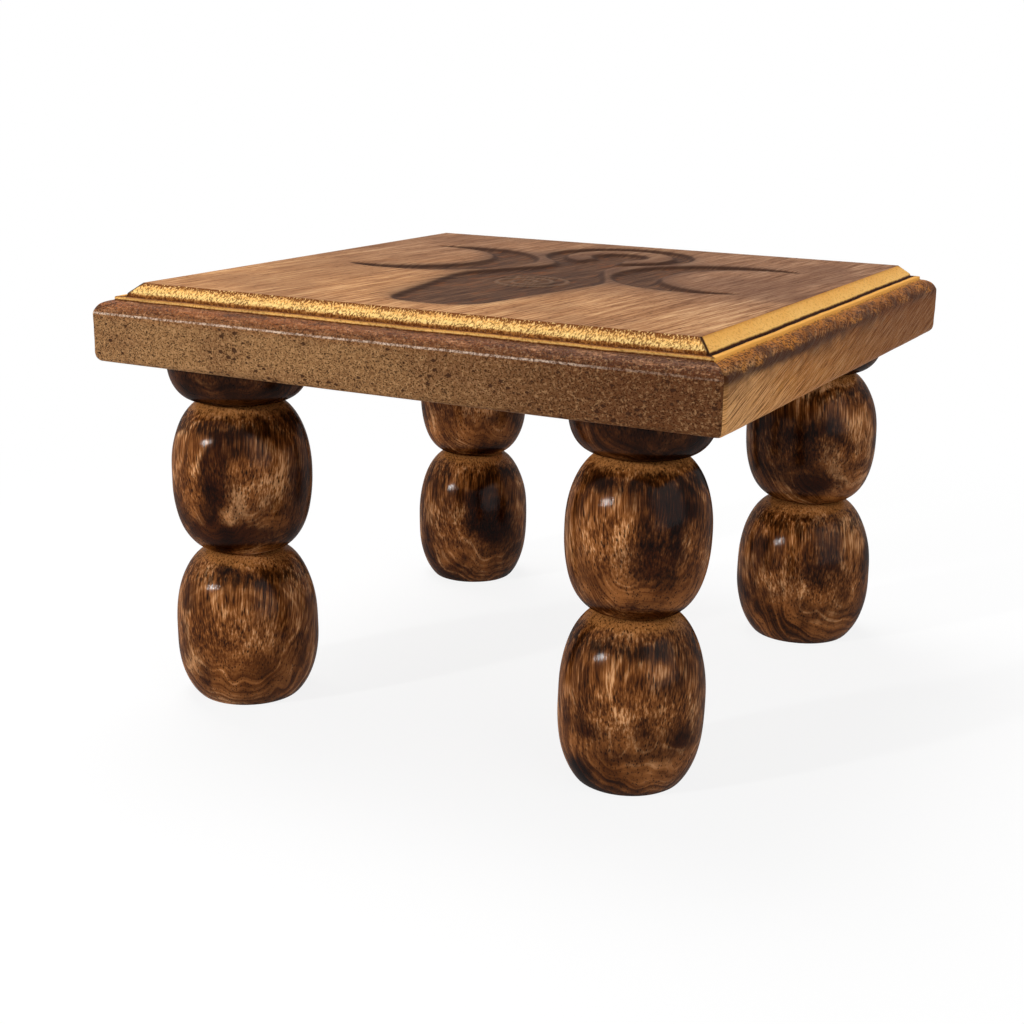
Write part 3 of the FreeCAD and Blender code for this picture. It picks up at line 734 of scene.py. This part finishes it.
def moulding_profile(thickness):
    """Points (inset from the outer face, drop below the field, band) down the edge of the board."""
    field_inset = BEVEL_WIDTH + QUIRK_WIDTH + FILLET_WIDTH + OVOLO_WIDTH
    bevel_foot = field_inset - BEVEL_WIDTH
    quirk_edge = bevel_foot - QUIRK_WIDTH
    fillet_edge = quirk_edge - FILLET_WIDTH
    fillet_level = BEVEL_DROP + BEVEL_STEP
    quirk_floor = fillet_level + QUIRK_DEPTH
    ovolo_top = fillet_level + FILLET_STEP
    ovolo_foot = ovolo_top + OVOLO_DROP
    wall_foot = thickness - BOTTOM_ARRIS
    corners = [
        (field_inset, 0.0, 0.0),
        (field_inset - EASED_WIDTH, EASED_DROP, BAND_EASED),
        (bevel_foot, BEVEL_DROP, BAND_BEVEL_FOOT),
        (bevel_foot - QUIRK_SLOPE, quirk_floor, BAND_QUIRK_FLOOR),
        (quirk_edge + QUIRK_SLOPE, quirk_floor, BAND_QUIRK_FLOOR_END),
        (quirk_edge, fillet_level, BAND_QUIRK_EDGE),
        (fillet_edge, fillet_level, BAND_FILLET_EDGE),
        (fillet_edge, ovolo_top, BAND_OVOLO_TOP),
    ]
    half_turn = math.asin(math.hypot(OVOLO_WIDTH, OVOLO_DROP) / 2 / OVOLO_RADIUS)
    chord_slope = math.atan2(OVOLO_DROP, OVOLO_WIDTH)
    for share in shares(OVOLO_STEPS):
        length = 2 * OVOLO_RADIUS * math.sin(share * half_turn)
        slope = chord_slope - half_turn * (1 - share)
        inset = fillet_edge - length * math.cos(slope)
        drop = ovolo_top + length * math.sin(slope)
        corners.append((inset, drop, BAND_OVOLO_TOP + share * (BAND_OVOLO_FOOT - BAND_OVOLO_TOP)))
    for share in shares(WALL_STEPS):
        drop = ovolo_foot + share * (wall_foot - ovolo_foot)
        corners.append((0.0, drop, BAND_OVOLO_FOOT + share * (BAND_ARRIS - BAND_OVOLO_FOOT)))
    for share in shares(ARRIS_STEPS):
        turn = share * math.pi / 2
        inset = BOTTOM_ARRIS * (1 - math.cos(turn))
        drop = wall_foot + BOTTOM_ARRIS * math.sin(turn)
        corners.append((inset, drop, BAND_ARRIS + share * (BAND_UNDERSIDE - BAND_ARRIS)))
    return soften_corners(corners, EDGE_SOFTENING, SOFTENING_STEPS)


def rounded_corner(x, y, half_x, half_y, radius):
    """Move points of a square path near its corners onto a quarter circle."""
    over_x = np.abs(x) - (half_x - radius)
    over_y = np.abs(y) - (half_y - radius)
    near = (over_x > 0) & (over_y > 0)
    low = np.minimum(over_x, over_y) / np.maximum(np.maximum(over_x, over_y), 1e-9)
    angle = np.where(over_x >= over_y, low * math.pi / 4, math.pi / 2 - low * math.pi / 4)
    new_x = np.sign(x) * (half_x - radius + radius * np.cos(angle))
    new_y = np.sign(y) * (half_y - radius + radius * np.sin(angle))
    return np.where(near, new_x, x), np.where(near, new_y, y)


def blurred(values, passes):
    """Repeated small blur of a grid along both axes."""
    for repeat in range(passes):
        for axis in (0, 1):
            edge = np.pad(values, [(1, 1) if a == axis else (0, 0) for a in (0, 1)], mode="edge")
            low = np.take(edge, range(0, values.shape[axis]), axis)
            high = np.take(edge, range(2, values.shape[axis] + 2), axis)
            values = (low + 2 * values + high) / 4
    return values


def carved_depth(across, along, top):
    """Depth below the field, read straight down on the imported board, in millimetres."""
    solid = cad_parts["tabletop"].data
    tree = BVHTree.FromPolygons([v.co for v in solid.vertices], [p.vertices for p in solid.polygons])
    down = Vector((0, 0, -1))
    depth = np.zeros((len(across), len(along)))
    for i, x in enumerate(across[1:-1], 1):
        for j, y in enumerate(along[1:-1], 1):
            hit = tree.ray_cast(Vector((x * MM, y * MM, (top + RAY_CLEARANCE) * MM)), down)[0]
            depth[i, j] = top - hit.z / MM
    return depth


def spiral_ridge(x, y):
    """Height share of a spiral ridge around the belly's middle, fading over its last millimetre."""
    dx = x - SPIRAL_CENTRE[0]
    dy = y - SPIRAL_CENTRE[1]
    radius = np.hypot(dx, dy)
    phase = (radius / SPIRAL_PITCH - np.arctan2(dy, dx) / (2 * math.pi)) % 1.0
    crest = np.clip(1 - np.abs(phase - 0.5) / SPIRAL_CREST, 0, 1)
    return crest * np.clip(SPIRAL_RADIUS - radius, 0, 1)


def carved_field(across, along, top):
    """Points of the carved field, and the values at them that its material reads."""
    grid_x, grid_y = np.meshgrid(across, along, indexing="ij")
    sunk = carved_depth(across, along, top)
    deepest = sunk.max()
    soft = blurred(sunk, CARVING_BLUR)
    carve = soft / deepest
    halo = blurred(sunk, HALO_BLUR) / deepest
    ridge = spiral_ridge(grid_x, grid_y) * np.clip((carve - SPIRAL_START) / SPIRAL_RISE, 0, 1)
    flat_points = np.stack([grid_x, grid_y, np.zeros_like(grid_x)], -1).reshape(-1, 3)
    tool_marks = ripple(flat_points * TOOL_MARK_FACTORS, TOOL_MARK_SIZE, 1).reshape(grid_x.shape)
    waves = ripple(flat_points, WAVE_SIZE, 2, 2).reshape(grid_x.shape)
    to_edge = 1 - np.maximum(np.abs(grid_x) / across[-1], np.abs(grid_y) / along[-1])
    fade = np.clip(to_edge * EDGE_FADE, 0, 1)
    heights = top - soft + ridge * SPIRAL_HEIGHT
    heights += (TOOL_MARK_DEPTH * tool_marks * carve + WAVE_HEIGHT * waves) * fade
    points = np.stack([grid_x, grid_y, heights], -1).reshape(-1, 3)
    return points, {"carve": carve.ravel(), "halo": halo.ravel(), "ridge": ridge.ravel()}


def edge_ring(outer, unit, top, thickness, inset, drop):
    """Ring of points around the board at one place of the moulding, a little worn."""
    half = outer - inset
    radius = max(CORNER_RADIUS - inset, INNER_CORNER_RADIUS)
    x, y = rounded_corner(unit[:, 0] * half[0], unit[:, 1] * half[1], half[0], half[1], radius)
    ring = np.stack([x, y, np.full(len(unit), top - drop)], -1)
    wear = ripple(ring * WEAR_FACTORS, WEAR_SIZE, 3, 3)
    ring[:, :2] *= 1 - (WEAR_SHARE * (wear + 1))[:, None]
    ring[:, 2] += WEAR_HEIGHT * wear * (WEAR_START < drop < thickness - WEAR_END)
    return ring


def build_tabletop():
    """The board: a fine grid for its carved field, rings down its moulding and a flat underside."""
    low, high = (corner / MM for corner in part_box("tabletop"))
    outer = np.array([high.x, high.y])
    thickness = high.z - low.z
    profile = moulding_profile(thickness)
    field = outer - profile[0][0]
    steps = FIELD_STEPS
    width = steps + 1
    share = np.linspace(-1, 1, width)
    vertices, values = carved_field(share * field[0], share * field[1], high.z)
    corner = np.arange(steps * width).reshape(steps, width)[:, :-1].ravel()
    faces = np.stack([corner, corner + width, corner + width + 1, corner + 1], -1).tolist()
    face_materials = [0] * len(faces)

    run = list(range(steps))
    border = [(i, 0) for i in run] + [(steps, j) for j in run]
    border += [(steps - i, steps) for i in run] + [(0, steps - j) for j in run]
    border = np.array(border)
    count = len(border)
    rings = [border[:, 0] * width + border[:, 1]]
    points = [vertices]
    bands = [np.zeros(len(vertices))]
    start = len(vertices)
    for inset, drop, band in profile[1:]:
        points.append(edge_ring(outer, share[border], high.z, thickness, inset, drop))
        bands.append(np.full(count, band))
        rings.append(np.arange(start, start + count))
        start += count
    end_grain = (np.arange(count) // steps) % 2 == 0
    for upper, lower in zip(rings, rings[1:]):
        quads = np.stack([upper, lower, np.roll(lower, -1), np.roll(upper, -1)], -1)
        faces += quads.tolist()
        face_materials += np.where(end_grain, 1, 2).tolist()
    faces.append(rings[-1][::-1].tolist())
    face_materials.append(3)

    flat = np.zeros(start - len(vertices))
    attributes = {label: np.concatenate([on_field, flat]) for label, on_field in values.items()}
    attributes["band"] = np.concatenate(bands)
    materials = [field_material(), end_grain_material(), long_grain_material(), underside_material()]
    piece = new_mesh("board", np.concatenate(points), faces, face_materials, materials, attributes)
    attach(piece, BODY)
    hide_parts("tabletop")


def leg_profile(height, radius, middle_level):
    """Rows (height, radius, bead number, level in the bead) up one leg."""
    foot = FOOT_SHARE * radius
    middle_neck = MIDDLE_NECK_SHARE * radius
    upper_neck = UPPER_NECK_SHARE * radius
    middle = middle_level * height
    collar = COLLAR_LEVEL * height
    # bottom and top of each bead, its radii at the bottom, the widest level and the top, its curve
    beads = [
        (0.0, middle, (foot, LOWER_BEAD_SHARE * radius, middle_neck), LOWER_BEAD_CURVE),
        (middle, collar, (middle_neck, UPPER_BEAD_SHARE * radius, upper_neck), UPPER_BEAD_CURVE),
        (collar, 2 * height - collar, (upper_neck, CAP_SHARE * radius, upper_neck), CAP_CURVE),
    ]
    rows = [(0.0, foot - FOOT_CHAMFER, LOWER, 0.0)]
    for number, (bottom, top, radii, curve) in enumerate(beads):
        low_radius, widest, high_radius = radii
        belly_level, low_shape, high_shape = curve
        belly = bottom + belly_level * (top - bottom)
        for step in range(BEAD_STEPS + 1):
            along = math.sin(math.pi * (step / BEAD_STEPS - 0.5))
            power, fullness = low_shape if along < 0 else high_shape
            end = low_radius if along < 0 else high_radius
            reach = belly - bottom if along < 0 else top - belly
            z = belly + along * reach
            r = end + (widest - end) * max(1 - abs(along) ** power, 0.0) ** fullness
            rows.append((z, r, number, (z - bottom) / (top - bottom)))
            if z > height - 1e-6:
                break
    return rows


def scorch(corner, beads, levels, heights, angles, radii):
    """Burn at each point of a leg from its scorched places, fading out from their middles."""
    burn = np.zeros((len(levels), len(angles)))
    for bead, side, level, half_width, half_height, strength in SCORCHES[corner]:
        facing = math.radians(SEEN_SIDE + side - 90)
        turn = (angles - facing + math.pi) % (2 * math.pi) - math.pi
        nearest = np.argmin(np.where(beads == bead, np.abs(levels - level), 1.0))
        across = turn[None, :] * radii[nearest] / half_width
        up = ((heights - heights[nearest]) / half_height)[:, None]
        burn += strength * np.exp(-across ** 2 - up ** 2)
    return burn


def build_leg(corner, girth, middle_level, foot_lean, material, seed):
    """One hand-turned leg, a little thicker or thinner than its nominal size and not quite upright."""
    name = f"leg_{corner}"
    low, high = (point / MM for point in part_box(name))
    axis = (low + high) / 2
    rows = leg_profile(high.z - low.z, (high.x - low.x) / 2, middle_level)
    angles = np.linspace(0, 2 * math.pi, LEG_SEGMENTS, endpoint=False)
    circle = np.stack([np.cos(angles), np.sin(angles)], -1)
    heights, radii, beads, levels = np.array(rows).T
    to_right = np.array([math.cos(math.radians(SEEN_SIDE)), math.sin(math.radians(SEEN_SIDE)), 0])
    pith_angle = PITH_TURN * seed + PITH_START
    pith_way = np.array([math.cos(pith_angle), math.sin(pith_angle)])
    points = []
    rings = []
    for z, radius, *_ in rows:
        ring = np.column_stack([circle * radius * girth, np.full(LEG_SEGMENTS, z)])
        uneven = ripple(ring, UNEVEN_SIZE, seed, 2) * UNEVEN_DEPTH
        ring[:, :2] += circle * uneven[:, None]
        pith = pith_way * (PITH_DISTANCE + PITH_LEAN * (z / high.z - 0.5))
        rings.append(np.linalg.norm(ring[:, :2] - pith, axis=1))
        lean = to_right * foot_lean * (1 - z / (high.z - low.z))
        points.append(ring + lean + (axis.x, axis.y, low.z))
    count = len(rows)
    base = np.arange((count - 1) * LEG_SEGMENTS)
    following = base - base % LEG_SEGMENTS + (base + 1) % LEG_SEGMENTS
    faces = np.stack([base, following, following + LEG_SEGMENTS, base + LEG_SEGMENTS], -1).tolist()
    faces.append(list(range(LEG_SEGMENTS))[::-1])
    faces.append(list(range((count - 1) * LEG_SEGMENTS, count * LEG_SEGMENTS)))
    piece = new_mesh(
        f"turned_{name}", np.concatenate(points), faces, [0] * len(faces), [material],
        {
            "ring": np.concatenate(rings),
            "level": np.repeat(levels, LEG_SEGMENTS),
            "burn": scorch(corner, beads, levels, heights, angles, radii).ravel(),
            "shadow": np.repeat(np.where(beads == CAP, CAP_SHADOW, 0.0), LEG_SEGMENTS),
        },
    )
    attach(piece, BODY)
    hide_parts(name)


def dress_fixings():
    """The hidden bolts and inserts keep their solids and get plain metals."""
    steel = metal_material("bolt_zinc", tone(176, 178, 182), 0.3)
    brass = metal_material("insert_brass", tone(200, 160, 88), 0.28)
    for corner in LEGS:
        for kind, metal in (("hanger_bolt", steel), ("insert", brass)):
            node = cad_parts[f"{kind}_{corner}"]
            node.data.materials.clear()
            node.data.materials.append(metal)


def background_rays(tree):
    """1 for rays that should show the white background: the camera's, reflections and transmission."""
    path = tree.nodes.new("ShaderNodeLightPath")
    seen = path.outputs["Is Camera Ray"]
    for kind in ("Is Glossy Ray", "Is Transmission Ray"):
        either = tree.nodes.new("ShaderNodeMath")
        either.operation = "MAXIMUM"
        tree.links.new(seen, either.inputs[0])
        tree.links.new(path.outputs[kind], either.inputs[1])
        seen = either.outputs[0]
    return seen


def floor_material():
    """Matt floor that background rays see as white, with a share of its shade near the object."""
    paint = Surface("floor_pale")
    paint.shader.inputs["Base Color"].default_value = (0.9, 0.9, 0.9, 1.0)
    paint.shader.inputs["Roughness"].default_value = 0.9
    glow = paint.add("ShaderNodeEmission").outputs["Emission"]
    reach = paint.add("ShaderNodeVectorMath", {0: paint.place}, operation="LENGTH").outputs["Value"]
    share = paint.times(background_rays(paint.tree), paint.between(reach, 0.08, 0.3, 0.86, 1.0))
    sides = {"Fac": share, 1: paint.shader.outputs["BSDF"], 2: glow}
    blend = paint.add("ShaderNodeMixShader", sides).outputs["Shader"]
    paint.feed(paint.tree.nodes["Material Output"].inputs["Surface"], blend)
    return paint.material


def build_floor():
    """Wide floor under the table."""
    bpy.ops.mesh.primitive_plane_add(size=FLOOR_WIDTH, location=(0, 0, 0))
    floor = bpy.context.object
    floor.name = "floor"
    floor.data.materials.append(floor_material())


def build_world():
    """World that is white as a background and only dim as a light."""
    world = bpy.data.worlds.new("studio")
    bpy.context.scene.world = world
    world.use_nodes = True
    tree = world.node_tree
    ambient = tree.nodes["Background"]
    ambient.inputs["Color"].default_value = (1, 1, 1, 1)
    ambient.inputs["Strength"].default_value = AMBIENT
    white = tree.nodes.new("ShaderNodeBackground")
    white.inputs["Color"].default_value = (1, 1, 1, 1)
    blend = tree.nodes.new("ShaderNodeMixShader")
    tree.links.new(background_rays(tree), blend.inputs["Fac"])
    tree.links.new(ambient.outputs[0], blend.inputs[1])
    tree.links.new(white.outputs[0], blend.inputs[2])
    tree.links.new(blend.outputs[0], tree.nodes["World Output"].inputs["Surface"])


def build_lamps():
    """Rectangular studio lamps, turned towards the table."""
    for name, (location, (width, height), power) in LAMPS.items():
        data = bpy.data.lights.new(name, "AREA")
        data.shape = "RECTANGLE"
        data.size = width
        data.size_y = height
        data.energy = power
        lamp = bpy.data.objects.new(name, data)
        lamp.location = location
        lamp.rotation_mode = "QUATERNION"
        lamp.rotation_quaternion = (LAMP_AIM - Vector(location)).to_track_quat("-Z", "Y")
        bpy.context.scene.collection.objects.link(lamp)


def build_camera():
    """Camera at the photograph's viewing angle, found by fitting the board's edges and the legs."""
    azimuth = math.radians(CAMERA_AZIMUTH)
    elevation = math.radians(CAMERA_ELEVATION)
    roll = math.radians(CAMERA_ROLL)
    data = bpy.data.cameras.new("camera")
    data.sensor_width = SENSOR_WIDTH
    data.lens = FOCAL_PIXELS / IMAGE_PIXELS * SENSOR_WIDTH
    camera = bpy.data.objects.new("camera", data)
    camera.location = Vector(CAMERA_PLACE) * MM
    back = Vector((
        math.sin(azimuth) * math.cos(elevation),
        -math.cos(azimuth) * math.cos(elevation),
        math.sin(elevation),
    ))
    camera.rotation_mode = "QUATERNION"
    camera.rotation_quaternion = (-back).to_track_quat("-Z", "Y") @ Quaternion((0, 0, 1), roll)
    bpy.context.scene.collection.objects.link(camera)
    bpy.context.scene.camera = camera


build_tabletop()
turned_wood = leg_material()
for order, (corner_name, turning) in enumerate(LEGS.items()):
    build_leg(corner_name, *turning, turned_wood, FIRST_LEG_SEED + order)
dress_fixings()
build_floor()
build_world()
build_lamps()
build_camera()
bpy.context.scene.view_settings.view_transform = "Standard"
